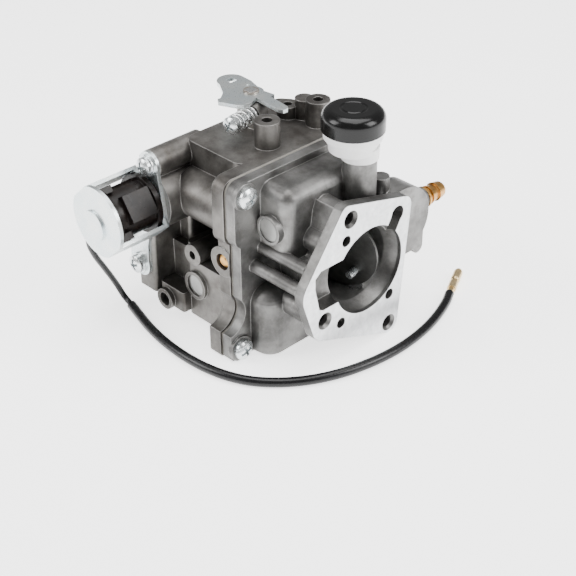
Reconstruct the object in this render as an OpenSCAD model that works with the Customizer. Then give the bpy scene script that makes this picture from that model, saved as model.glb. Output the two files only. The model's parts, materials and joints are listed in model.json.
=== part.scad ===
// Small-engine carburetor: two bolted castings, choke, throttle, float and fuel shut-off solenoid.
// Origin: centre of the air inlet bore on the inlet flange face. +X out of the inlet, +Z up.

/* [Bores] */
// Radius of the inlet register bore
inlet_r = 18; // [17.6:0.1:18.4]
// Radius of the choke bore behind the register
choke_r = 15.6; // [15.4:0.1:15.8]
// Radius of the throttle bore at the manifold
throttle_r = 14; // [13.8:0.1:14.2]

/* [Castings] */
// Height of the bore centre over the surface the part stands on
ground = 35; // [35:0.1:35.4]
// X of the front casting's joint face, behind the inlet face
front_seam = 33; // [33:0.1:33.2]
// Thickness of the body gasket
gasket_t = 1; // [1:0.1:1.2]
// X of the manifold face, behind the inlet face
manifold_x = 98; // [98:0.5:104]
// Height of the castings' top face
top_z = 40; // [40:0.1:40.3]

/* [Shafts] */
// Radius of the throttle shaft
throttle_shaft_r = 3; // [2.8:0.1:3.2]
// Radius of the choke shaft
choke_shaft_r = 3; // [2.8:0.1:3.2]
// Distance of the throttle shaft behind the inlet face
throttle_x = 64; // [63.8:0.1:64.2]
// Angle of the choke plate at rest, 0 is across the bore
choke_rest = 74; // [60:1:76]

/* [Solenoid] */
// Radius of the solenoid's end plate
sol_r = 14.3; // [14.1:0.1:14.5]
// Tilt of the solenoid frame about its own axis
sol_tilt = 43; // [40:1:46]

/* [Screws] */
// Radius of the pan heads of the body screws
head_r = 4.1; // [3.8:0.1:4.3]
// Shank radius of the body screws
shank_r = 2.4; // [2.2:0.1:2.5]

/* [Hidden] */
$fn = 64;

// Running and assembly clearance on the radius
gap = 0.05;
// Wall between the outside and the inside of a joint
rear_seam = front_seam + gasket_t;
front_flange_t = 4.5;
rear_flange_t = 6;
inlet_flange_t = 4.4;
manifold_flange_t = 8;
seam_front = -front_seam + front_flange_t;
seam_back = -rear_seam - rear_flange_t;
// Manifold studs: distance of each tapped ear from the bore centre
ear_y = 44.5;
// Choke shaft axis
choke_x = -11.5;
choke_y = 5.5;
tower_z = 41.2;
choke_screw_z = [-7, 8.6];
plate_t = 1.2;
// Throttle lever heights
lever_z = 50.6;
tab_z = 46.8;
lever_t = 1.5;
// Idle speed screw: axis height, head end, yaw, radius and length
idle_z = 46.5;
idle_x = -56;
idle_y = -17.5;
idle_yaw = 8;
idle_r = 1.6;
idle_len = 20;
// Idle mixture screw axis
mix_x = -37.8;
mix_z = 4.3;
mix_y = -40.4;
// Body screw places on the joint face, [y, z]
screw_yz = [[-36.8, 34.8], [-40.8, -30.2], [20.5, 34.5], [32.2, -29.4]];
screw_end = -rear_seam - 6.4;
screw_seat = seam_front + 1;
// Solenoid axis and planes
sol_x = -74.7;
sol_z = 18;
bracket_y = -44;
sheet_t = 1.5;
sol_front = -68;
coil_r = 11.6;
sol_screw_xz = [[-72.3, 34], [-81.7, -13.2]];
// Float hinge axis and needle axis
pin_y = 23.2;
pin_z = -25;
needle_x = -26;
needle_y = 19.2;
// Main well axis
well_x = -46;
// Fuel inlet barb axis
barb_x = -8;
barb_z = 12.5;
// Lead route: from the coil down to the surface, then along it
lead_r = 1.25;
sleeve_r = 1.95;
sleeve_z = -ground + sleeve_r + 0.02;
lead_route = [[-82.2, -66.6, 9.9], [-85.2, -66.4, 6.4], [-87.4, -65, 0.5], [-89, -61.8, -6.5],
    [-90.2, -57.8, -13.5], [-91, -53.9, -20.5], [-91, -51, -26.5], [-89.4, -49.6, -31],
    [-86.8, -49.4, -32.7], [-84, -49.9, sleeve_z]];
sleeve_route = [[-84, -49.9, sleeve_z], [-76, -52.2, sleeve_z], [-66.5, -54.7, sleeve_z],
    [-57, -56.4, sleeve_z], [-48, -57.2, sleeve_z], [-39, -57.2, sleeve_z], [-30, -56.2, sleeve_z],
    [-21.5, -54, sleeve_z], [-13.5, -50.2, sleeve_z], [-6.5, -44.6, sleeve_z], [-0.5, -37.6, sleeve_z],
    [4.2, -29.8, sleeve_z], [7.8, -21.2, sleeve_z], [10.2, -12.2, sleeve_z],
    [11.7, -3, sleeve_z], [12.2, 6.4, sleeve_z], [11.6, 15.8, sleeve_z],
    [10.1, 25, sleeve_z], [7.6, 34, sleeve_z], [4.4, 42.4, sleeve_z], [1.2, 48.6, sleeve_z]];

// ---- helpers -------------------------------------------------------------

// Extrude a (y, z) outline along X between two planes
module along_x(x0, x1) {
    translate([x0, 0, 0]) rotate([90, 0, 90]) linear_extrude(x1 - x0) children();
}

// Extrude an (x, z) outline along Y between two planes
module along_y(y0, y1) {
    translate([0, y1, 0]) rotate([90, 0, 0]) linear_extrude(y1 - y0) children();
}

module cyl_x(x0, x1, y, z, r) {
    translate([x0, y, z]) rotate([0, 90, 0]) cylinder(h = x1 - x0, r = r);
}

module cyl_y(y0, y1, x, z, r) {
    translate([x, y0, z]) rotate([-90, 0, 0]) cylinder(h = y1 - y0, r = r);
}

module cyl_z(z0, z1, x, y, r) {
    translate([x, y, z0]) cylinder(h = z1 - z0, r = r);
}

module box(x0, x1, y0, y1, z0, z1) {
    translate([x0, y0, z0]) cube([x1 - x0, y1 - y0, z1 - z0]);
}

// Rectangle with round corners between two corners
module round_rect(u0, u1, v0, v1, r) {
    translate([u0 + r, v0]) square([u1 - u0 - 2 * r, v1 - v0]);
    translate([u0, v0 + r]) square([u1 - u0, v1 - v0 - 2 * r]);
    for (u = [u0 + r, u1 - r], v = [v0 + r, v1 - r]) translate([u, v]) circle(r);
}

// Box with its vertical edges rounded
module pillar_box(x0, x1, y0, y1, z0, z1, r) {
    translate([0, 0, z0]) linear_extrude(z1 - z0) round_rect(x0, x1, y0, y1, r);
}

// Block against the joint plane with its front and upper edges well rounded
module soft_block(x0, x1, y0, y1, z0, z1, r) {
    hull() {
        for (y = [y0 + r, y1 - r]) {
            translate([x1 - r, y, z1 - r]) sphere(r, $fn = 32);
            translate([x0, y, z1 - r]) rotate([0, 90, 0]) cylinder(h = 1, r = r, $fn = 32);
            translate([x1 - r, y, z0]) cylinder(h = 1.2, r1 = r - 1, r2 = r, $fn = 32);
        }
        box(x0, x0 + 1, y0, y1, z0, z0 + 2);
    }
}

// Rings of points around each point of a path, for a swept tube
function unit(v) = v / norm(v);
function tangent(p, i) = unit(p[min(i + 1, len(p) - 1)] - p[max(i - 1, 0)]);
function ring(c, t, r, n, ref) = [for (k = [0:n - 1])
    let (s = unit(cross(t, ref)), u = cross(s, t), a = 360 * k / n) c + r * (cos(a) * s + sin(a) * u)];
function tube_points(p, r, n, ref) = [for (i = [0:len(p) - 1]) each ring(p[i], tangent(p, i), r, n, ref)];
function tube_sides(m, n) = [for (i = [0:m - 2], k = [0:n - 1], h = [0, 1])
    h == 0 ? [i * n + k, i * n + (k + 1) % n, (i + 1) * n + (k + 1) % n]
        : [i * n + k, (i + 1) * n + (k + 1) % n, (i + 1) * n + k]];
module tube(p, r, n, ref) {
    m = len(p);
    ends = [[for (k = [0:n - 1]) n - 1 - k], [for (k = [0:n - 1]) (m - 1) * n + k]];
    polyhedron(tube_points(p, r, n, ref), concat(ends, tube_sides(m, n)), convexity = 10);
}

// Helical spring along +Z: turns of wire from z = 0 to z = length
module coil_spring(turns, length, r, wire_r) {
    steps = turns * 14;
    path = [for (i = [0:steps]) [r * cos(360 * i / 14), r * sin(360 * i / 14), length * i / steps]];
    tube(path, wire_r, 6, [0, 0, 1]);
}

// Pan head with a cross recess, standing on z = 0
module pan_head(r, h) {
    difference() {
        rotate_extrude() {
            square([r, h * 0.55]);
            intersection() {
                translate([0, h - r * 1.6]) circle(r * 1.6);
                translate([0, h * 0.5]) square([r, h]);
            }
        }
        for (a = [20, 110]) rotate(a) translate([-r * 0.62, -r * 0.14, h * 0.4]) cube([r * 1.24, r * 0.28, h]);
    }
}

// ---- castings --------------------------------------------------------------

module inlet_outline() {
    hull() {
        translate([17.5, 19.5]) circle(5, $fn = 32);
        translate([13, -30.4]) circle(4.6, $fn = 32);
        translate([-12.4, 28.2]) circle(4.4, $fn = 32);
        translate([-25.8, 1.5]) circle(9.2, $fn = 32);
        translate([-22.6, -13.6]) circle(7.4, $fn = 32);
    }
}

// Joint outline of a casting; grow makes the rear one a little larger
module seam_outline(grow, step_y) {
    difference() {
        union() {
            round_rect(step_y - grow, 26.5 + grow, -ground, top_z, 4);
            round_rect(-41.8 - grow, -20, 13 - grow, top_z, 5);
            round_rect(15, 37.4 + grow, -ground, -23.6 + grow, 5);
            round_rect(-45.4 - grow, -25, -ground, -15, 1.6);
        }
        translate([-46.6, -14.8]) circle(9 - grow);
    }
}

module screw_holes(r) {
    for (p = screw_yz) cyl_x(screw_end - 1, 0, p[0], p[1], r);
}

module inlet_solid() {
    union() {
        along_x(-inlet_flange_t, 0) inlet_outline();
        along_x(-front_seam, seam_front) seam_outline(0, -39.4);
        for (p = screw_yz) cyl_x(seam_front - 1, screw_seat, p[0], p[1], 5.3);
        cyl_x(-front_seam, -2, 0, 0, 19.4);
        // upper box and its webs to the inlet flange
        soft_block(-front_seam, -14, -29, 10, 8, 37, 5);
        along_x(-15, -2) polygon([[-19.4, 8], [-17.2, 8], [-14, 27], [-14.8, 31], [-16.4, 27]]);
        box(-15, -2, 9, 12, 8, 22);
        // bosses behind the flange's upper holes
        cyl_x(-15, -2, -10.8, 25.8, 5.2);
        cyl_x(-28, -2, -16, 15.5, 5.2);
        cyl_x(-20, -2, -22.8, -12.6, 5);
        cyl_x(-20, -2, 11.6, -29.6, 4.8);
        // back wall of the air pocket
        box(-8.5, -2, -29.6, -14, -8, 11.8);
        // side plug boss
        cyl_y(-31.2, -20, -22.4, 20.6, 5.8);
        // two drilled passages cast as ribs
        cyl_x(-30, -inlet_flange_t, -28.2, 10, 2.6);
        cyl_x(-30, -inlet_flange_t, -32.4, 3.4, 2.6);
        // float chamber
        soft_block(-front_seam, -18.3, -35, 28, -ground + 0.7, -6, 7.2);
        box(-front_seam, -24, 0, 27.8, -ground, -20);
        pillar_box(-31.5, -12, 13, 29, -20, 7, 3);
        // choke tower
        cyl_z(12, tower_z, choke_x, choke_y, 6.5);
        cyl_z(10, 29, -11.5, 17.5, 3.4);
        // fuel inlet lobe
        cyl_x(-15, -4, 23, 9, 15);
        box(-12, -4, 22, 35.4, -6, 6);
        cyl_x(-12, -4, 32.6, -5.6, 2.8);
        cyl_y(20, 38.6, barb_x - 0.4, barb_z, 4.3);
        // lower choke bearing
        cyl_z(-24, -16, choke_x, choke_y, 5);
    }
}

module inlet_body() color([0.62, 0.61, 0.58]) difference() {
    union() {
        difference() {
            inlet_solid();
            // float chamber hollow
            pillar_box(-front_seam - 9, -20.3, -33, 16, -32, -19.6, 6);
            pillar_box(-front_seam - 9, -20.3, -33, -23, -32, -10, 4.9);
            box(-front_seam - 1, -20.3, 9, 26, -32, -16);
        }
        // hinge lug beside the float arms
        box(-front_seam, -31.1, 20.6, 26.1, -27.6, -15.9);
    }
    // register, cone and choke bore
    rotate([0, 90, 0]) rotate_extrude() polygon([[0, -front_seam - 1], [choke_r, -front_seam - 1],
        [choke_r, -7], [inlet_r, -1.8], [inlet_r, 1], [0, 1]]);
    // shallow air pocket beside the register
    along_x(-6.5, 1) polygon([[-13, 10.8], [-26, 10.8], [-28.8, 8.6], [-28.8, 4], [-26.6, -5.6],
        [-24.6, -6.8], [-13, -6.8]]);
    // slot from the bore to the upper right hole
    cyl_x(-9, 1, 14.8, 18.3, 3.3);
    along_x(-4.5, 1) polygon([[12.1, 19.6], [17.4, 16.9], [12.5, 8], [7.2, 10.8]]);
    // tapped air cleaner holes and small vent holes
    for (p = [[-10.8, 26.3], [-23.6, -12.1], [12.4, -30.3]]) {
        cyl_x(-8.5, 1, p[0], p[1], 2.5);
        translate([-1.2, p[0], p[1]]) rotate([0, 90, 0]) cylinder(h = 1.21, r1 = 2.5, r2 = 3.6);
    }
    for (p = [[-12.9, 18], [-14.9, -17.2], [12, -16.6]]) cyl_x(-5, 1, p[0], p[1], 2.2);
    // choke shaft bores
    cyl_z(-21, tower_z + 1, choke_x, choke_y, choke_shaft_r + gap);
    cyl_z(tower_z - 3, tower_z + 1, choke_x, choke_y, 4.6);
    // plug seat
    cyl_y(-32, -28.5, -22.4, 20.6, 4.6);
    cyl_x(-34, -19.2, pin_y, pin_z, 1.05);
    // needle seat bore and fuel gallery
    cyl_z(-17, -5, needle_x, needle_y, 3.05);
    cyl_z(-6, 2, needle_x, needle_y, 1.4);
    cyl_y(19, 39, barb_x, barb_z, 3.05);
    cyl_x(needle_x - 0.5, -8, needle_y, 1, 1.5);
    cyl_x(-9, -7, 21, 7, 1.4);
    box(-9.4, -6.6, 19.4, 22.2, 0, 12);
    // pocket in the upper box
    box(-front_seam - 1, -17.5, -25, 1, 22.8, 34);
    screw_holes(shank_r + 0.1);
    // cut flush with the ground
    box(-200, 100, -100, 100, -ground - 20, -ground);
}

module body_gasket() color([0.12, 0.12, 0.12]) difference() {
    along_x(-rear_seam, -front_seam) difference() {
        seam_outline(-0.3, -39.4);
        circle(choke_r);
        translate([-24, 23.5]) square([24, 10]);
        translate([0, -28]) circle(1.6);
    }
    screw_holes(shank_r + 0.1);
    box(-200, 100, -100, 100, -ground - 20, -ground + 0.2);
}

module throttle_body() color([0.6, 0.58, 0.55]) difference() {
    union() {
        along_x(seam_back, -rear_seam) seam_outline(0.6, -39.4);
        cyl_x(-manifold_x, -rear_seam, 0, 0, 18.4);
        along_x(-manifold_x, -manifold_x + manifold_flange_t) hull() {
            circle(21, $fn = 48);
            for (s = [-1, 1]) translate([s * ear_y, 0]) circle(9, $fn = 32);
        }
        // upper box with its solenoid boss
        pillar_box(-71, seam_back + 1, -28.6, 23, 10, top_z, 4.5);
        cyl_y(bracket_y, -20, sol_screw_xz[0][0], sol_screw_xz[0][1], 5.6);
        // solenoid valve seat barrel
        cyl_y(bracket_y, -22, sol_x, sol_z, 12.5);
        cyl_x(-67, seam_back + 1, -28.5, 19.5, 10.2);
        // lower rear block for the solenoid's second screw
        pillar_box(-85.2, -74.3, bracket_y, -15, -25, 8, 1.5);
        pillar_box(-76, -60, -34, -12, -20, -4, 2);
        pillar_box(-76, -68, -30, -12, -6, 10, 2);
        // lower left chamber wall and well
        pillar_box(-62.5, seam_back + 1, -38, -10, -31, -5, 3);
        pillar_box(-70, seam_back + 1, -12, 22, -ground, -12, 5);
        // side bosses: drilled boss, plug boss and pipe stub
        cyl_y(-39, -15, -57, -2, 4.5);
        pillar_box(-64, -53.5, -36, -15, -8, 0.5, 2);
        cyl_y(-39.6, -30, -55.6, -15.2, 6);
        cyl_y(bracket_y, -24, -69.6, -26, 4.5);
        pillar_box(-74, -60, -42, -20, -29, -20, 1);
        // idle mixture screw boss
        cyl_y(mix_y, -14, mix_x, mix_z, 6.3);
        // posts and bosses on the top face
        cyl_z(top_z - 2, 50.4, -44.4, -10.2, 5);
        cyl_z(top_z - 2, 50.4, -43.6, 16, 4.8);
        cyl_z(top_z - 2, 45, -57, 12.8, 4.4);
        cyl_z(top_z - 2, 48.2, -51.5, 16.5, 3.8);
        box(-54, -43, 14, 18, top_z - 2, 46.5);
        cyl_z(top_z - 2, 46.4, -throttle_x, 0, 5.6);
        translate([idle_x, idle_y, top_z - 2]) rotate(idle_yaw) translate([-2.6, 12.2, 0]) cube([5.2, 5.4, 8]);
        translate([idle_x, idle_y, idle_z]) rotate(idle_yaw) rotate([-90, 0, 0]) translate([0, 0, 12.1])
            cylinder(h = 5.6, r = 3.7);
        // lower throttle bearing
        cyl_z(-26, -12, -throttle_x, 0, 6);
    }
    // bore: venturi, then throttle bore
    translate([-rear_seam + 0.01, 0, 0]) rotate([0, -90, 0]) rotate_extrude()
        polygon([[0, -1], [choke_r, -1], [choke_r, 1], [12, 9], [11.6, 12], [12, 15],
            [throttle_r, 21], [throttle_r, 70], [0, 70]]);
    // tapped manifold ears
    for (s = [-1, 1]) cyl_x(-manifold_x - 1, -manifold_x + manifold_flange_t + 1, s * ear_y, 0, 3.4);
    // throttle shaft bores
    cyl_z(-22.5, 60, -throttle_x, 0, throttle_shaft_r + gap);
    cyl_z(42, 60, -throttle_x, 0, 4);
    // pocket in the upper box
    box(-57.5, -rear_seam + 1, -24, 17.5, 22.8, 36);
    // post and boss holes
    cyl_z(41.5, 60, -44.4, -10.2, 2.1);
    cyl_z(41.5, 60, -43.6, 16, 2);
    cyl_z(40.5, 60, -57, 12.8, 1.8);
    // screw bores for the solenoid
    for (p = sol_screw_xz) cyl_y(bracket_y - 1, bracket_y + 12, p[0], p[1], 2.05);
    // solenoid valve bore
    cyl_y(bracket_y - 1, -23.5, sol_x, sol_z, 5.6);
    cyl_y(bracket_y - 1, bracket_y + 1.2, sol_x, sol_z, 7.2);
    // idle speed screw bore
    translate([idle_x, idle_y, idle_z]) rotate(idle_yaw) rotate([-90, 0, 0])
        cylinder(h = idle_len + 1, r = idle_r + gap);
    // idle mixture screw bore
    cyl_y(mix_y - 1, mix_y + 3, mix_x, mix_z, 3.4);
    cyl_y(mix_y, -15.2, mix_x, mix_z, 2.35);
    cyl_y(-16, -11, mix_x, mix_z, 0.6);
    // small bores in the side bosses
    cyl_y(-40, -32, -57, -2, 1.8);
    cyl_y(-41, -36.5, -55.6, -15.2, 4.6);
    cyl_y(bracket_y - 1, -33, -69.6, -26, 2.9);
    cyl_y(-37, -20, -55.6, -15.2, 2.05);
    // main well and feed passage
    cyl_z(-ground - 1, -31.4, well_x, 0, 4.6);
    cyl_z(-31.6, -8, well_x, 0, 2.85);
    cyl_x(well_x - 1, -rear_seam + 1, 0, -28, 1.6);
    screw_holes(shank_r + 0.1);
    // flat over the idle screw's boss, clear of the lever
    box(-63, -50, -6, 3, lever_z - 0.5, 60);
    // clearance for the joint plane and the ground
    box(-rear_seam, 10, -60, 60, -60, 60);
    box(-200, 100, -100, 100, -ground - 20, -ground);
}

module body_screws() color([0.8, 0.8, 0.78]) for (p = screw_yz) {
    cyl_x(screw_end, screw_seat + 0.5, p[0], p[1], shank_r);
    translate([screw_seat, p[0], p[1]]) rotate([0, 90, 0]) pan_head(head_r, 3.1);
}

module plug_front() color([0.5, 0.49, 0.47]) cyl_y(-30.6, -28.5, -22.4, 20.6, 4.55);

module plug_rear() color([0.5, 0.49, 0.47]) cyl_y(-38.6, -36.5, -55.6, -15.2, 4.55);

// ---- throttle ---------------------------------------------------------------

module throttle_shaft() color([0.75, 0.75, 0.73]) difference() {
    union() {
        cyl_z(-22.2, lever_z, -throttle_x, 0, throttle_shaft_r);
        cyl_z(tab_z, lever_z, -throttle_x, 0, 3.5);
        box(-throttle_x - 2, -throttle_x + 2, -2, 2, lever_z - 0.1, lever_z + lever_t + 0.7);
    }
    box(-throttle_x - plate_t / 2 - 0.02, -throttle_x + plate_t / 2 + 0.02, -20, 20, -14.2, 14.2);
    for (z = [-6, 6]) cyl_x(-70, -58, 0, z, 1.35);
}

module throttle_plate() color([0.75, 0.62, 0.3]) difference() {
    cyl_x(-throttle_x - plate_t / 2, -throttle_x + plate_t / 2, 0, 0, throttle_r - 0.15);
    for (z = [-6, 6]) cyl_x(-70, -58, 0, z, 1.35);
}

module throttle_plate_screws() color([0.8, 0.8, 0.78]) for (z = [-6, 6]) {
    cyl_x(-throttle_x - 4, -throttle_x + 3.2, 0, z, 1.3);
    translate([-throttle_x + 3, 0, z]) rotate([0, 90, 0]) pan_head(2.3, 1.4);
}

module throttle_lever() color([0.72, 0.77, 0.78]) difference() {
    union() {
        translate([0, 0, lever_z]) linear_extrude(lever_t) difference() {
            union() {
                polygon([[-77, 7], [-71, 6.6], [-66, 5], [-62, 3.4], [-58.5, 2.6], [-44.5, 0.8], [-43.3, -0.4],
                    [-43.5, -2.6], [-45.5, -3.4], [-58.5, -2.4], [-57, -6], [-56.8, -10.4], [-58.5, -12],
                    [-66, -15.2], [-68, -13.7], [-67.8, -12.4], [-70.6, -8.6], [-73.6, -6.7], [-77, -4.6]]);
                translate([-76.8, 1.3]) circle(5.7);
                translate([-throttle_x, 0]) circle(5);
                translate([idle_x, idle_y]) rotate(idle_yaw) translate([-1.7, idle_len - 2]) square([5, 3.8]);
            }
            translate([-78.6, -0.4]) square([3.4, 3.4]);
            translate([-throttle_x - 2.03, -2.03]) square([4.06, 4.06]);
            translate([-69, 3]) circle(0.9);
        }
        // stop tab bent down to the idle speed screw
        translate([idle_x, idle_y, tab_z]) rotate(idle_yaw) translate([-1.7, idle_len + 0.3, 0])
            cube([5, 1.5, lever_z - tab_z + 0.1]);
    }
}

module throttle_lever_nut() color([0.62, 0.46, 0.36]) difference() {
    cyl_z(lever_z + lever_t, lever_z + lever_t + 0.6, -throttle_x, 0, 3.1);
    box(-throttle_x - 2.03, -throttle_x + 2.03, -2.03, 2.03, lever_z, lever_z + 5);
}

module throttle_shaft_seal() color([0.1, 0.1, 0.1]) difference() {
    cyl_z(42, 44.8, -throttle_x, 0, 3.95);
    cyl_z(41, 47, -throttle_x, 0, throttle_shaft_r + gap);
}

module idle_speed_screw() color([0.8, 0.8, 0.76]) translate([idle_x, idle_y, idle_z]) rotate(idle_yaw)
    rotate([-90, 0, 0]) {
        cylinder(h = idle_len, r = idle_r);
        mirror([0, 0, 1]) translate([0, 0, -1]) pan_head(3.5, 3);
    }

module idle_speed_spring() color([0.8, 0.8, 0.76]) translate([idle_x, idle_y, idle_z]) rotate(idle_yaw)
    rotate([-90, 0, 0]) translate([0, 0, 1.6]) coil_spring(4.6, 9.6, 3.1, 0.55);

module idle_mixture_screw() color([0.85, 0.6, 0.25]) {
    translate([mix_x, 0, mix_z]) rotate([-90, 0, 0]) rotate_extrude() polygon([[0, mix_y + 0.3],
        [1.6, mix_y + 0.5], [2.6, mix_y + 1.1], [3.25, mix_y + 2], [3.25, mix_y + 3], [0, mix_y + 3]]);
    cyl_y(mix_y + 2.9, -19, mix_x, mix_z, 1.3);
    translate([mix_x, -19, mix_z]) rotate([-90, 0, 0]) cylinder(h = 3.4, r1 = 1.3, r2 = 0.3);
}

module idle_mixture_spring() color([0.8, 0.8, 0.76])
    translate([mix_x, mix_y + 3.6, mix_z]) rotate([-90, 0, 0]) coil_spring(7, 12, 1.8, 0.35);

// ---- choke ------------------------------------------------------------------

// Turn children from the closed position to the rest position about the choke shaft
module at_choke_rest() {
    translate([choke_x, choke_y, 0]) rotate(-choke_rest) translate([-choke_x, -choke_y, 0]) children();
}

module choke_shaft() color([0.72, 0.72, 0.7]) at_choke_rest() difference() {
    union() {
        cyl_z(-20.6, tower_z + 3, choke_x, choke_y, choke_shaft_r);
    }
    box(choke_x + 0.6, choke_x + 4, choke_y - 4, choke_y + 4, -15.6, 15.6);
    for (z = choke_screw_z) cyl_x(choke_x - 5, choke_x + 1, choke_y, z, 1.65);
}

module choke_plate() color([0.28, 0.28, 0.27]) at_choke_rest() difference() {
    cyl_x(choke_x + 0.6, choke_x + 0.6 + plate_t, 0, 0, choke_r - 0.7);
    for (z = choke_screw_z) cyl_x(choke_x - 5, choke_x + 5, choke_y, z, 1.65);
}

// Each screw's threaded end stands out of the plate
module choke_plate_screws() color([0.55, 0.57, 0.6]) at_choke_rest() for (z = choke_screw_z) {
    cyl_x(choke_x - 3.2, choke_x + 2, choke_y, z, 1.6);
    for (i = [0:5]) cyl_x(choke_x + 1.9 + i * 0.75, choke_x + 2.4 + i * 0.75, choke_y, z, 1.6);
    cyl_x(choke_x + 1.9, choke_x + 6.5, choke_y, z, 1.3);
    translate([choke_x - 3, choke_y, z]) rotate([0, -90, 0]) pan_head(2.5, 1.5);
}

module choke_collar() color([0.93, 0.92, 0.9]) difference() {
    union() {
        translate([choke_x, choke_y, 0]) rotate_extrude() polygon([[0, tower_z + 0.4], [7.1, tower_z + 0.4],
            [7.3, 46.6], [0, 46.6]]);
        translate([choke_x - 2, choke_y - 1.8, 0]) rotate_extrude() polygon([[0, 45], [9.1, 45],
            [9.2, 47.9], [9.9, 48.2], [10.4, 49.6], [11, 49.9], [11.2, 52.7], [8.6, 52.7], [8.6, 50.5],
            [0, 50.5]]);
    }
    cyl_z(tower_z - 1, tower_z + 3, choke_x, choke_y, choke_shaft_r + 0.01);
}

module choke_cap() color([0.06, 0.06, 0.06]) translate([choke_x - 2, choke_y - 1.8, 0]) difference() {
    rotate_extrude() difference() {
        union() {
            translate([0, 52.7]) square([11.9, 4.8]);
            translate([0, 52.7]) square([8.1, 8.6]);
            translate([8.1, 57.5]) circle(3.8);
        }
        translate([-20, 0]) square([20, 80]);
        translate([4.6, 62]) circle(0.95);
        translate([11.9, 52.2]) rotate(45) square(1.2, center = true);
    }
    translate([0, 0, 52]) cylinder(h = 3, r = 8.5);
}

module choke_shaft_seal() color([0.15, 0.14, 0.13]) difference() {
    cyl_z(tower_z - 3, tower_z + 0.1, choke_x, choke_y, 4.55);
    cyl_z(tower_z - 4, tower_z + 2, choke_x, choke_y, choke_shaft_r + gap);
}

// ---- fuel system --------------------------------------------------------------

module fuel_inlet_barb() color([0.82, 0.62, 0.28]) difference() {
    translate([barb_x, 0, barb_z]) rotate([-90, 0, 0]) rotate_extrude() polygon([[0, 32], [3, 32],
        [3, 38.65], [4.3, 38.65], [4.3, 39.6], [3.1, 39.6], [3.1, 41.2], [3.9, 41.2], [3.2, 44.6],
        [3.2, 45.2], [3.9, 45.2], [3.2, 48.8], [2.6, 49.6], [0, 49.6]]);
    cyl_y(31, 51, barb_x, barb_z, 1.6);
}

module needle_seat() color([0.82, 0.62, 0.28]) difference() {
    cyl_z(-15.9, -5, needle_x, needle_y, 3);
    cyl_z(-17, -8.4, needle_x, needle_y, 1.75);
    cyl_z(-9, -4, needle_x, needle_y, 0.9);
}

module inlet_needle() color([0.25, 0.25, 0.25]) {
    cyl_z(-21.65, -11.4, needle_x, needle_y, 1.68);
    translate([needle_x, needle_y, -11.4]) cylinder(h = 2, r1 = 1.68, r2 = 0.5);
}

module float() color([0.1, 0.1, 0.1]) difference() {
    union() {
        pillar_box(-31.8, -21.4, -31.6, 13, -31.2, -26.6, 5);
        pillar_box(-31.8, -21.4, -31.6, -26.4, -31.2, -16.5, 2.5);
        for (x = [-30.6, -23.2]) box(x, x + 2, 8, pin_y, -29, -26.6);
        for (x = [-30.6, -23.2]) box(x, x + 2, 20.6, pin_y, -29, -25);
        cyl_x(-30.6, -21.2, pin_y, pin_z, 2);
        // tang under the needle
        box(needle_x - 2.2, needle_x + 2.2, 17.8, pin_y, -23.6, -22);
        box(needle_x - 2.2, needle_x + 2.2, 21.4, pin_y, -25, -22);
    }
    cyl_x(-40, 0, pin_y, pin_z, 1.04);
}

module float_pin() color([0.8, 0.8, 0.78]) cyl_x(-32.8, -19.3, pin_y, pin_z, 1);

module main_jet() color([0.82, 0.62, 0.28]) difference() {
    cyl_z(-31.4, -29.8, well_x, 0, 2.8);
    cyl_z(-32, -29, well_x, 0, 0.6);
}

module main_nozzle() color([0.82, 0.62, 0.28]) difference() {
    cyl_z(-29.8, -4.5, well_x, 0, 2.8);
    cyl_z(-31, -4, well_x, 0, 1.4);
    for (z = [-28, -23]) cyl_x(well_x - 4, well_x + 4, 0, z, 0.7);
}

module main_well_plug() color([0.82, 0.62, 0.28]) difference() {
    cyl_z(-34.4, -31.4, well_x, 0, 4.55);
    box(well_x - 5, well_x + 5, -0.6, 0.6, -35, -33.4);
}

module pilot_jet() color([0.82, 0.62, 0.28]) difference() {
    cyl_y(-36.5, -26, -55.6, -15.2, 2);
    cyl_y(-37, -25, -55.6, -15.2, 0.5);
}

// ---- solenoid ---------------------------------------------------------------

// Local frame: axis along Y, straps above and below
module solenoid_place() {
    translate([sol_x, 0, sol_z]) rotate([0, -sol_tilt, 0]) children();
}

module solenoid_frame() color([0.84, 0.85, 0.8]) solenoid_place() difference() {
    union() {
        along_y(sol_front - sheet_t, sol_front) intersection() {
            circle(sol_r);
            square([40, 2 * 13.4], center = true);
        }
        for (s = [-1, 1]) box(-5, 5, sol_front - 0.5, bracket_y - sheet_t,
            s > 0 ? 11.9 : -13.4, s > 0 ? 13.4 : -11.9);
        along_y(bracket_y - 2 * sheet_t, bracket_y - sheet_t) difference() {
            square([10, 26], center = true);
            circle(4.4);
        }
        cyl_y(sol_front - sheet_t - 0.9, sol_front - 0.5, -2.6, -0.4, 6.2);
    }
    cyl_y(sol_front - 0.7, sol_front + 0.2, 0, 0, 4.4);
}

module solenoid_bracket() color([0.78, 0.84, 0.85]) difference() {
    along_y(bracket_y - sheet_t, bracket_y) {
        polygon([[-77.6, 36.2], [-75.5, 32], [-80, 27], [-85.5, 10], [-86.8, -6], [-87.4, -12], [-86.8, -16],
            [-81.7, -18.5], [-76.6, -16], [-76, -3], [-74, 4], [-63.6, 10.4], [-64, 13], [-67.6, 34],
            [-67.4, 36]]);
        translate([sol_screw_xz[0][0], sol_screw_xz[0][1]]) circle(5.4);
        translate([sol_screw_xz[1][0], sol_screw_xz[1][1]]) circle(5.7);
    }
    cyl_y(bracket_y - 3, bracket_y + 1, sol_x, sol_z, 4.5);
    for (p = sol_screw_xz) cyl_y(bracket_y - 3, bracket_y + 1, p[0], p[1], 2.1);
}

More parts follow.
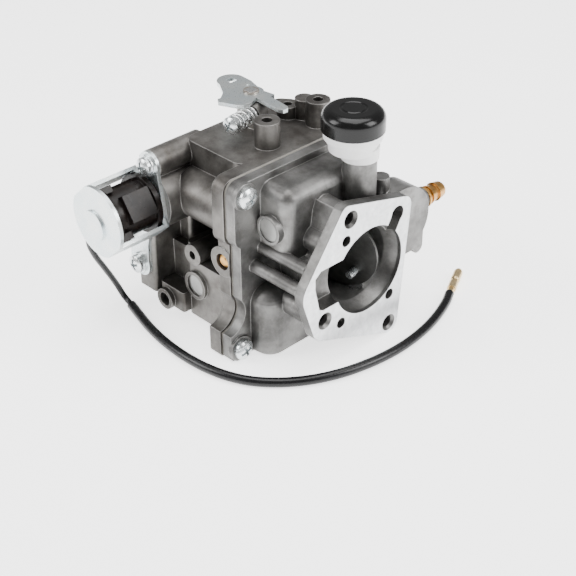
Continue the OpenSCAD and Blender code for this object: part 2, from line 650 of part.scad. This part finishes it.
module solenoid_coil() color([0.13, 0.11, 0.1]) translate([sol_x, 0, sol_z]) rotate([0, 8 - sol_tilt, 0]) {
    difference() {
        union() {
            cyl_y(sol_front, bracket_y - 2 * sheet_t, 0, 0, coil_r - 1.6);
            cyl_y(sol_front, sol_front + 2.4, 0, 0, coil_r + 0.2);
            cyl_y(bracket_y - 2 * sheet_t - 2.2, bracket_y - 2 * sheet_t, 0, 0, coil_r + 0.2);
            box(4, 11.8, sol_front + 6, bracket_y - 6, -6, 5);
            box(3, 8, sol_front + 1, sol_front + 6, -10.8, -8);
            box(3, 8, sol_front + 1, sol_front + 6, 8, 10.8);
            box(-11.5, -6, sol_front + 1.5, sol_front + 7, -7, -1);
        }
        cyl_y(sol_front - 1, bracket_y, 0, 0, 4.35);
    }
}

module solenoid_core() color([0.6, 0.6, 0.6]) difference() {
    cyl_y(sol_front - 0.7, -58, sol_x, sol_z, 4.3);
    cyl_y(-64.3, -57, sol_x, sol_z, 3.3);
}

module solenoid_plunger() color([0.65, 0.65, 0.65]) {
    cyl_y(-55, -36, sol_x, sol_z, 3.9);
    cyl_y(-36.1, -30, sol_x, sol_z, 2);
    translate([sol_x, -30, sol_z]) rotate([-90, 0, 0]) cylinder(h = 3.5, r1 = 2, r2 = 0.8);
}

module solenoid_spring() color([0.8, 0.8, 0.76])
    translate([sol_x, -61.2, sol_z]) rotate([-90, 0, 0]) coil_spring(5, 5.8, 2.6, 0.35);

module solenoid_seal() color([0.08, 0.08, 0.08]) translate([sol_x, bracket_y + 0.62, sol_z]) rotate([-90, 0, 0])
    rotate_extrude() translate([6.5, 0]) circle(0.55, $fn = 24);

module solenoid_screws() color([0.8, 0.8, 0.76]) for (p = sol_screw_xz) {
    cyl_y(bracket_y - sheet_t - 1.4, bracket_y + 10, p[0], p[1], 2);
    translate([p[0], bracket_y - sheet_t - 1.1, p[1]]) rotate([90, 0, 0]) pan_head(3.7, 2.8);
}

module solenoid_washers() color([0.82, 0.82, 0.8]) for (p = sol_screw_xz) difference() {
    cyl_y(bracket_y - sheet_t - 1.1, bracket_y - sheet_t, p[0], p[1], 4.3);
    cyl_y(bracket_y - 5, bracket_y, p[0], p[1], 2.1);
}

// ---- lead -------------------------------------------------------------------

module lead_wire() color([0.08, 0.08, 0.08]) tube(lead_route, lead_r, 8, [1, 0, 0]);

module lead_sleeve() color([0.05, 0.05, 0.05]) tube(sleeve_route, sleeve_r, 8, [0, 0, 1]);

module lead_terminal() color([0.82, 0.66, 0.36]) {
    last = sleeve_route[len(sleeve_route) - 1];
    dir = unit(last - sleeve_route[len(sleeve_route) - 2]);
    translate(last) rotate([0, 0, atan2(dir[1], dir[0])]) rotate([0, 90, 0]) rotate_extrude()
        polygon([[0, 0], [1.25, 0], [1.25, 3.5], [1.9, 3.5], [1.9, 8], [1.4, 8.6], [1.4, 10], [1.9, 10.6],
            [1.9, 16.5], [1.5, 17.8], [0.6, 18.4], [0, 18.4]]);
}

// ---- output -------------------------------------------------------------------

throttle_body();
inlet_body();
body_gasket();
body_screws();
plug_front();
plug_rear();
throttle_shaft();
throttle_plate();
throttle_plate_screws();
throttle_lever();
throttle_lever_nut();
throttle_shaft_seal();
idle_speed_screw();
idle_speed_spring();
idle_mixture_screw();
idle_mixture_spring();
choke_shaft();
choke_plate();
choke_plate_screws();
choke_collar();
choke_cap();
choke_shaft_seal();
fuel_inlet_barb();
needle_seat();
inlet_needle();
float();
float_pin();
main_jet();
main_nozzle();
main_well_plug();
pilot_jet();
solenoid_frame();
solenoid_bracket();
solenoid_coil();
solenoid_core();
solenoid_plunger();
solenoid_spring();
solenoid_seal();
solenoid_screws();
solenoid_washers();
lead_wire();
lead_sleeve();
lead_terminal();
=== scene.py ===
import json
import math

import bmesh
import bpy
from mathutils import Matrix, Vector


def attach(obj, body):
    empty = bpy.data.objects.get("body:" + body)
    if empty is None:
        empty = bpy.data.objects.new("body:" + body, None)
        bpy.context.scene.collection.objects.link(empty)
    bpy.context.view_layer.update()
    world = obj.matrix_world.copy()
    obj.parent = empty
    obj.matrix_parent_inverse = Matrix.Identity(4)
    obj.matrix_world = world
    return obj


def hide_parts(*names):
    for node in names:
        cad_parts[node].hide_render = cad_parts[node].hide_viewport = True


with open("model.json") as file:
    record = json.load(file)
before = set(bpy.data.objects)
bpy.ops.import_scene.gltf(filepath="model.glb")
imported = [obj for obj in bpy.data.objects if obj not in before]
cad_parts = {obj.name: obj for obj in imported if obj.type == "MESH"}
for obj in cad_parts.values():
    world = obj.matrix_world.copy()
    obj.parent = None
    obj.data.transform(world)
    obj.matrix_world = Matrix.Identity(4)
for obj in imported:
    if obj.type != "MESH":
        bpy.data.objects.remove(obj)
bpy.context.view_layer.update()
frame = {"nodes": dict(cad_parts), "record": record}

MM = 0.001
GROUND_Z = -35 * MM
FLOOR_SIZE = 4
FLOOR_GLOW = 2
ROOM_LIGHT = 0.4

# Lead and sleeve, in millimetres
LEAD_RADIUS = 1.25
SLEEVE_RADIUS = 1.95

# Idle speed screw: where its head starts, its turn about Z, and its spring
IDLE_START = (-56, -17.5, 46.5)
IDLE_YAW = 8
HEAD_LENGTH = 1.6
SPRING_TURNS = 4.8
SPRING_LENGTH = 9.6
SPRING_RADIUS = 3.1
SPRING_WIRE_RADIUS = 0.55

# ---- camera ------------------------------------------------------------------


def add_camera():
    """A long lens looking down at the inlet corner."""
    data = bpy.data.cameras.new("camera")
    data.sensor_width = 36
    data.lens = 82.56
    data.clip_start = 0.01
    data.clip_end = 20
    cam = bpy.data.objects.new("camera", data)
    bpy.context.scene.collection.objects.link(cam)
    cam.location = Vector((279.53, -312.88, 269.74)) * MM
    look = Vector((-0.5989, 0.5790, -0.5532)).normalized()
    turn = look.to_track_quat("-Z", "Y").to_matrix().to_4x4()
    roll = Matrix.Rotation(math.radians(-0.27), 4, "Z")
    cam.matrix_world = Matrix.Translation(cam.location) @ turn @ roll
    bpy.context.scene.camera = cam


# ---- lead: the cord ----------------------------------------------------------

SLEEVE_Z = -33.03
LEAD_ROUTE = [(-82.2, -66.6, 9.9), (-85.2, -66.4, 6.4), (-87.4, -65, 0.5), (-89, -61.8, -6.5),
              (-90.2, -57.8, -13.5), (-91, -53.9, -20.5), (-91, -51, -26.5), (-89.4, -49.6, -31),
              (-86.8, -49.4, -32.7)]
SLEEVE_ROUTE = [(-84, -49.9, SLEEVE_Z), (-76, -52.2, SLEEVE_Z), (-66.5, -54.7, SLEEVE_Z),
                (-57, -56.4, SLEEVE_Z), (-48, -57.2, SLEEVE_Z), (-39, -57.2, SLEEVE_Z),
                (-30, -56.2, SLEEVE_Z), (-21.5, -54, SLEEVE_Z), (-13.5, -50.2, SLEEVE_Z),
                (-6.5, -44.6, SLEEVE_Z),
                (-0.5, -37.6, SLEEVE_Z), (4.2, -29.8, SLEEVE_Z), (7.8, -21.2, SLEEVE_Z),
                (10.2, -12.2, SLEEVE_Z), (11.7, -3, SLEEVE_Z), (12.2, 6.4, SLEEVE_Z),
                (11.6, 15.8, SLEEVE_Z), (10.1, 25, SLEEVE_Z), (7.6, 34, SLEEVE_Z),
                (4.4, 42.4, SLEEVE_Z), (1.2, 48.6, SLEEVE_Z)]


def smooth_path(points, steps=6):
    """Catmull-Rom curve through points given in millimetres, as points in metres."""
    pts = [Vector(p) * MM for p in points]
    pts = [2 * pts[0] - pts[1]] + pts + [2 * pts[-1] - pts[-2]]
    out = []
    for a, b, c, d in zip(pts, pts[1:], pts[2:], pts[3:]):
        for i in range(steps):
            t = i / steps
            out.append(0.5 * (2 * b + (c - a) * t + (2 * a - 5 * b + 4 * c - d) * t * t
                              + (3 * b - a - 3 * c + d) * t ** 3))
    out.append(pts[-2])
    return out


def tube_curve(name, points, radius, material, sides=5):
    """Round tube along points, with closed ends."""
    curve = bpy.data.curves.new(name, "CURVE")
    curve.dimensions = "3D"
    spline = curve.splines.new("POLY")
    spline.points.add(len(points) - 1)
    for target, p in zip(spline.points, points):
        target.co = (*p, 1)
    curve.bevel_depth = radius
    curve.bevel_resolution = sides
    curve.use_fill_caps = True
    curve.materials.append(material)
    obj = bpy.data.objects.new(name, curve)
    bpy.context.scene.collection.objects.link(obj)
    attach(obj, "carburetor")
    return obj


# ---- materials ---------------------------------------------------------------


class Nodes:
    """Short way to build one material's node tree."""

    def __init__(self, name):
        self.material = bpy.data.materials.new(name)
        self.material.use_nodes = True
        self.tree = self.material.node_tree
        self.shader = self.tree.nodes["Principled BSDF"]
        self.place = self.add("ShaderNodeTexCoord").outputs["Object"]

    def add(self, kind, **values):
        node = self.tree.nodes.new(kind)
        for key, value in values.items():
            setattr(node, key, value)
        return node

    def link(self, out, socket):
        self.tree.links.new(out, socket)

    def noise(self, scale, detail=4, rough=0.55):
        node = self.add("ShaderNodeTexNoise")
        node.inputs["Scale"].default_value = scale
        node.inputs["Detail"].default_value = detail
        node.inputs["Roughness"].default_value = rough
        self.link(self.place, node.inputs["Vector"])
        return node.outputs["Fac"]

    def ramp(self, value, low, high, a=(0, 0, 0), b=(1, 1, 1)):
        node = self.add("ShaderNodeValToRGB")
        node.color_ramp.elements[0].position = low
        node.color_ramp.elements[1].position = high
        node.color_ramp.elements[0].color = (*a, 1)
        node.color_ramp.elements[1].color = (*b, 1)
        self.link(value, node.inputs["Fac"])
        return node.outputs["Color"]

    def math(self, operation, a, b=0.0):
        node = self.add("ShaderNodeMath", operation=operation)
        for socket, value in zip(node.inputs, (a, b)):
            if isinstance(value, (int, float)):
                socket.default_value = value
            else:
                self.link(value, socket)
        return node.outputs[0]

    def mix(self, fac, a, b):
        node = self.add("ShaderNodeMix", data_type="RGBA")
        for socket, value in ((node.inputs[0], fac), (node.inputs[6], a), (node.inputs[7], b)):
            if isinstance(value, tuple):
                socket.default_value = (*value, 1)
            elif isinstance(value, (int, float)):
                socket.default_value = value
            else:
                self.link(value, socket)
        return node.outputs[2]

    def mix_value(self, fac, a, b):
        node = self.add("ShaderNodeMix", data_type="FLOAT")
        for socket, value in ((node.inputs[0], fac), (node.inputs[2], a), (node.inputs[3], b)):
            if isinstance(value, (int, float)):
                socket.default_value = value
            else:
                self.link(value, socket)
        return node.outputs[0]

    def round_edges(self, radius):
        node = self.add("ShaderNodeBevel", samples=6)
        node.inputs["Radius"].default_value = radius
        return node.outputs["Normal"]

    def edge_mask(self, soft_normal, low=0.985, high=0.9):
        """1 on edges, 0 on flat stretches."""
        geometry = self.add("ShaderNodeNewGeometry")
        dot = self.add("ShaderNodeVectorMath", operation="DOT_PRODUCT")
        self.link(soft_normal, dot.inputs[0])
        self.link(geometry.outputs["True Normal"], dot.inputs[1])
        return self.ramp(dot.outputs["Value"], high, low, (1, 1, 1), (0, 0, 0))

    def bump(self, height, strength, distance, normal=None):
        node = self.add("ShaderNodeBump")
        node.inputs["Strength"].default_value = strength
        node.inputs["Distance"].default_value = distance
        self.link(height, node.inputs["Height"])
        if normal is not None:
            self.link(normal, node.inputs["Normal"])
        return node.outputs["Normal"]

    def axis(self, name):
        node = self.add("ShaderNodeSeparateXYZ")
        self.link(self.place, node.inputs[0])
        return node.outputs[name]

    def finish(self, color, rough, normal=None, metallic=0.0, specular=0.5):
        for key, value in (("Base Color", color), ("Roughness", rough), ("Normal", normal)):
            if value is None:
                continue
            if isinstance(value, tuple):
                self.shader.inputs[key].default_value = (*value, 1)
            elif isinstance(value, (int, float)):
                self.shader.inputs[key].default_value = value
            else:
                self.link(value, self.shader.inputs[key])
        self.shader.inputs["Metallic"].default_value = metallic
        self.shader.inputs["Specular IOR Level"].default_value = specular
        return self.material


def cast_alloy(name, dark, light, stain, machined_face):
    """Die casting: fine grain, cloudy tone, stains, bright edges that are partly wear and partly painted
    highlight, and a milled face at X = 0.
    """
    n = Nodes(name)
    cloud = n.noise(55, 5, 0.6)
    grain = n.noise(1900, 2, 0.7)
    tone = n.mix(n.ramp(cloud, 0.36, 0.64), dark, light)
    blotch = n.ramp(n.noise(120, 6, 0.7), 0.52, 0.72)
    tone = n.mix(n.math("MULTIPLY", blotch, 0.55), tone, stain)
    soft = n.round_edges(0.55 * MM)
    edge_wear_and_highlight = n.edge_mask(soft)
    # Edges lightened toward a pale grey: partly wear, partly a painted highlight where light catches the
    # rounded edges.
    tone = n.mix(n.math("MULTIPLY", edge_wear_and_highlight, 0.3), tone, (0.55, 0.545, 0.53))
    rough = n.mix_value(n.ramp(grain, 0.3, 0.7), 0.36, 0.52)
    normal = n.bump(n.noise(850, 4, 0.7), 0.28, 0.14 * MM, soft)
    if machined_face:
        geometry = n.add("ShaderNodeNewGeometry")
        facing = n.add("ShaderNodeSeparateXYZ")
        n.link(geometry.outputs["True Normal"], facing.inputs[0])
        face = n.math("MULTIPLY", n.math("GREATER_THAN", n.axis("X"), -0.2 * MM),
                      n.math("GREATER_THAN", facing.outputs["X"], 0.9))
        swirl = n.ramp(n.noise(330, 3, 0.6), 0.35, 0.7, (0.60, 0.61, 0.62), (0.80, 0.81, 0.82))
        tone = n.mix(face, tone, swirl)
        rough = n.mix_value(face, rough, 0.34)
    return n.finish(tone, rough, normal, metallic=0.85)


def plated_steel(name, base, tint, rough=0.27):
    """Plated or bare steel: two tones in a cloudy film, with fine scratches in its gloss."""
    n = Nodes(name)
    film = n.ramp(n.noise(160, 4, 0.6), 0.35, 0.7)
    tone = n.mix(film, base, tint)
    soft = n.round_edges(0.12 * MM)
    scuff = n.ramp(n.noise(1400, 4, 0.75), 0.35, 0.75)
    gloss = n.mix_value(scuff, rough, rough + 0.16)
    return n.finish(tone, gloss, n.bump(n.noise(500, 2, 0.5), 0.03, 0.01 * MM, soft), metallic=0.95)


def turned_metal(name, base, dark, rough=0.24):
    """Turned metal with a fine grain and darker clouds."""
    n = Nodes(name)
    cloud = n.ramp(n.noise(260, 5, 0.65), 0.4, 0.75)
    soft = n.round_edges(0.2 * MM)
    tone = n.mix(cloud, base, dark)
    gloss = n.mix_value(n.ramp(n.noise(1200, 3, 0.6), 0.3, 0.7), rough, rough + 0.14)
    return n.finish(tone, gloss, n.bump(n.noise(900, 3, 0.6), 0.15, 0.06 * MM, soft), metallic=1.0)


def moulded(name, base, light, rough, grain=0.1, bevel=0.35, specular=0.5):
    """Plastic or rubber: even colour with a faint mould texture."""
    n = Nodes(name)
    tone = n.mix(n.ramp(n.noise(200, 4, 0.6), 0.35, 0.75), base, light)
    soft = n.round_edges(bevel * MM)
    gloss = n.mix_value(n.ramp(n.noise(600, 4, 0.7), 0.3, 0.75), rough, rough + 0.1)
    return n.finish(tone, gloss, n.bump(n.noise(1300, 3, 0.6), grain, 0.05 * MM, soft), specular=specular)


def make_materials():
    return {
        "cast_rear": cast_alloy("cast_rear", (0.070, 0.065, 0.060), (0.205, 0.196, 0.184),
                                (0.055, 0.044, 0.036), False),
        "cast_front": cast_alloy("cast_front", (0.085, 0.083, 0.080), (0.240, 0.237, 0.230),
                                 (0.068, 0.061, 0.054), True),
        "gasket": moulded("gasket", (0.17, 0.16, 0.14), (0.25, 0.235, 0.21), 0.75, 0.4),
        "zinc_screw": plated_steel("zinc_screw", (0.72, 0.74, 0.74), (0.62, 0.66, 0.68), 0.2),
        "grey_plug": plated_steel("grey_plug", (0.42, 0.42, 0.41), (0.30, 0.30, 0.29), 0.34),
        "steel": plated_steel("steel", (0.58, 0.58, 0.57), (0.44, 0.45, 0.46), 0.25),
        "brass": turned_metal("brass", (0.60, 0.34, 0.11), (0.36, 0.19, 0.06), 0.26),
        "zinc_plate": plated_steel("zinc_plate", (0.74, 0.77, 0.76), (0.62, 0.69, 0.72), 0.26),
        "bronze_nut": turned_metal("bronze_nut", (0.40, 0.36, 0.32), (0.30, 0.24, 0.20), 0.36),
        "seal_rubber": moulded("seal_rubber", (0.02, 0.02, 0.02), (0.04, 0.04, 0.04), 0.5, 0.2),
        "spring_steel": plated_steel("spring_steel", (0.74, 0.74, 0.72), (0.60, 0.61, 0.62), 0.2),
        "dark_steel": plated_steel("dark_steel", (0.07, 0.07, 0.068), (0.12, 0.12, 0.115), 0.36),
        "white_plastic": moulded("white_plastic", (0.80, 0.80, 0.79), (0.87, 0.87, 0.86), 0.38, 0.06),
        "black_rubber": moulded("black_rubber", (0.002, 0.002, 0.002), (0.004, 0.004, 0.004),
                                0.16, 0.02, 0.3, 0.3),
        "needle_rubber": moulded("needle_rubber", (0.05, 0.04, 0.035), (0.08, 0.065, 0.055), 0.5, 0.2),
        "float_plastic": moulded("float_plastic", (0.03, 0.03, 0.03), (0.055, 0.055, 0.055), 0.6, 0.5),
        "coil_plastic": moulded("coil_plastic", (0.004, 0.003, 0.003), (0.012, 0.008, 0.006),
                                0.26, 0.08, 0.3, 0.25),
        "lead_black": moulded("lead_black", (0.0025, 0.0025, 0.003), (0.005, 0.005, 0.006),
                              0.24, 0.04, 0.3, 0.35),
        "gold_terminal": turned_metal("gold_terminal", (0.78, 0.60, 0.33), (0.56, 0.42, 0.22), 0.28),
    }


def paint_nodes(materials):
    """Every CAD node gets the material of its slot."""
    slots = {s["node"]: s["material_slot"] for s in frame["record"]["subparts"]}
    for name, obj in frame["nodes"].items():
        material = materials[slots[name]]
        if not obj.material_slots:
            obj.data.materials.append(material)
        for place in obj.material_slots:
            place.material = material


# ---- finer pieces --------------------------------------------------------------


def add_lead(materials):
    """One insulated lead from the coil to its terminal, in a slack sleeve where it lies down."""
    black = materials["lead_black"]
    route = smooth_path(LEAD_ROUTE + SLEEVE_ROUTE)
    wire = tube_curve("lead", route, LEAD_RADIUS * MM, black)
    sleeve = tube_curve("sleeve", smooth_path(SLEEVE_ROUTE), SLEEVE_RADIUS * MM, black)
    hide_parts("lead_wire")
    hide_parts("lead_sleeve")


def helix(turns, length, radius, closed=0.75, steps=28):
    """Points of a spring along +Z whose end turns lie flat."""
    count = int(turns * steps)
    weights = [0.25 if i / steps < closed or i / steps > turns - closed else 1.0 for i in range(count)]
    total = sum(weights)
    points = []
    rise = 0.0
    for i in range(count + 1):
        a = 2 * math.pi * i / steps
        points.append(Vector((radius * math.cos(a), radius * math.sin(a), rise)))
        if i < count:
            rise += length * weights[i] / total
    return points


def add_idle_spring(materials):
    """Round-wire spring that keeps the idle speed screw from turning."""
    yaw = math.radians(IDLE_YAW)
    along = Vector((-math.sin(yaw), math.cos(yaw), 0))
    start = Vector(IDLE_START) * MM + along * HEAD_LENGTH * MM
    turn = along.to_track_quat("Z", "Y").to_matrix().to_4x4()
    place = Matrix.Translation(start) @ turn
    points = [place @ p for p in helix(SPRING_TURNS, SPRING_LENGTH * MM, SPRING_RADIUS * MM)]
    spring = tube_curve("idle_spring", points, SPRING_WIRE_RADIUS * MM, materials["spring_steel"],
                        3)
    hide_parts("idle_speed_spring")


# ---- room ------------------------------------------------------------------------


def add_floor():
    mesh = bpy.data.meshes.new("floor")
    shape = bmesh.new()
    bmesh.ops.create_grid(shape, x_segments=2, y_segments=2, size=FLOOR_SIZE)
    shape.to_mesh(mesh)
    shape.free()
    floor = bpy.data.objects.new("floor", mesh)
    floor.location.z = GROUND_Z
    bpy.context.scene.collection.objects.link(floor)
    n = Nodes("floor")
    n.shader.inputs["Emission Color"].default_value = (1, 1, 1, 1)
    n.shader.inputs["Emission Strength"].default_value = FLOOR_GLOW
    mesh.materials.append(n.finish((0.94, 0.94, 0.94), 0.6, specular=0.2))


def add_area_light(name, place, target, size, power):
    data = bpy.data.lights.new(name, "AREA")
    data.shape = "RECTANGLE"
    data.size = size[0]
    data.size_y = size[1]
    data.energy = power
    light = bpy.data.objects.new(name, data)
    light.location = Vector(place)
    light.rotation_euler = (Vector(target) - Vector(place)).to_track_quat("-Z", "Y").to_euler()
    bpy.context.scene.collection.objects.link(light)


def add_lights():
    """Soft boxes above and to the sides, in a pale room."""
    aim = (-0.04, 0, 0)
    add_area_light("top", (-0.05, 0.05, 0.9), aim, (0.8, 0.8), 12)
    add_area_light("left", (-0.55, -0.75, 0.55), aim, (0.45, 0.6), 8)
    add_area_light("right", (0.75, 0.35, 0.55), aim, (0.45, 0.6), 9)
    world = bpy.data.worlds.new("room")
    world.use_nodes = True
    world.node_tree.nodes["Background"].inputs["Color"].default_value = (1, 1, 1, 1)
    world.node_tree.nodes["Background"].inputs["Strength"].default_value = ROOM_LIGHT
    bpy.context.scene.world = world


add_camera()
materials = make_materials()
paint_nodes(materials)
add_lead(materials)
add_idle_spring(materials)
add_floor()
add_lights()
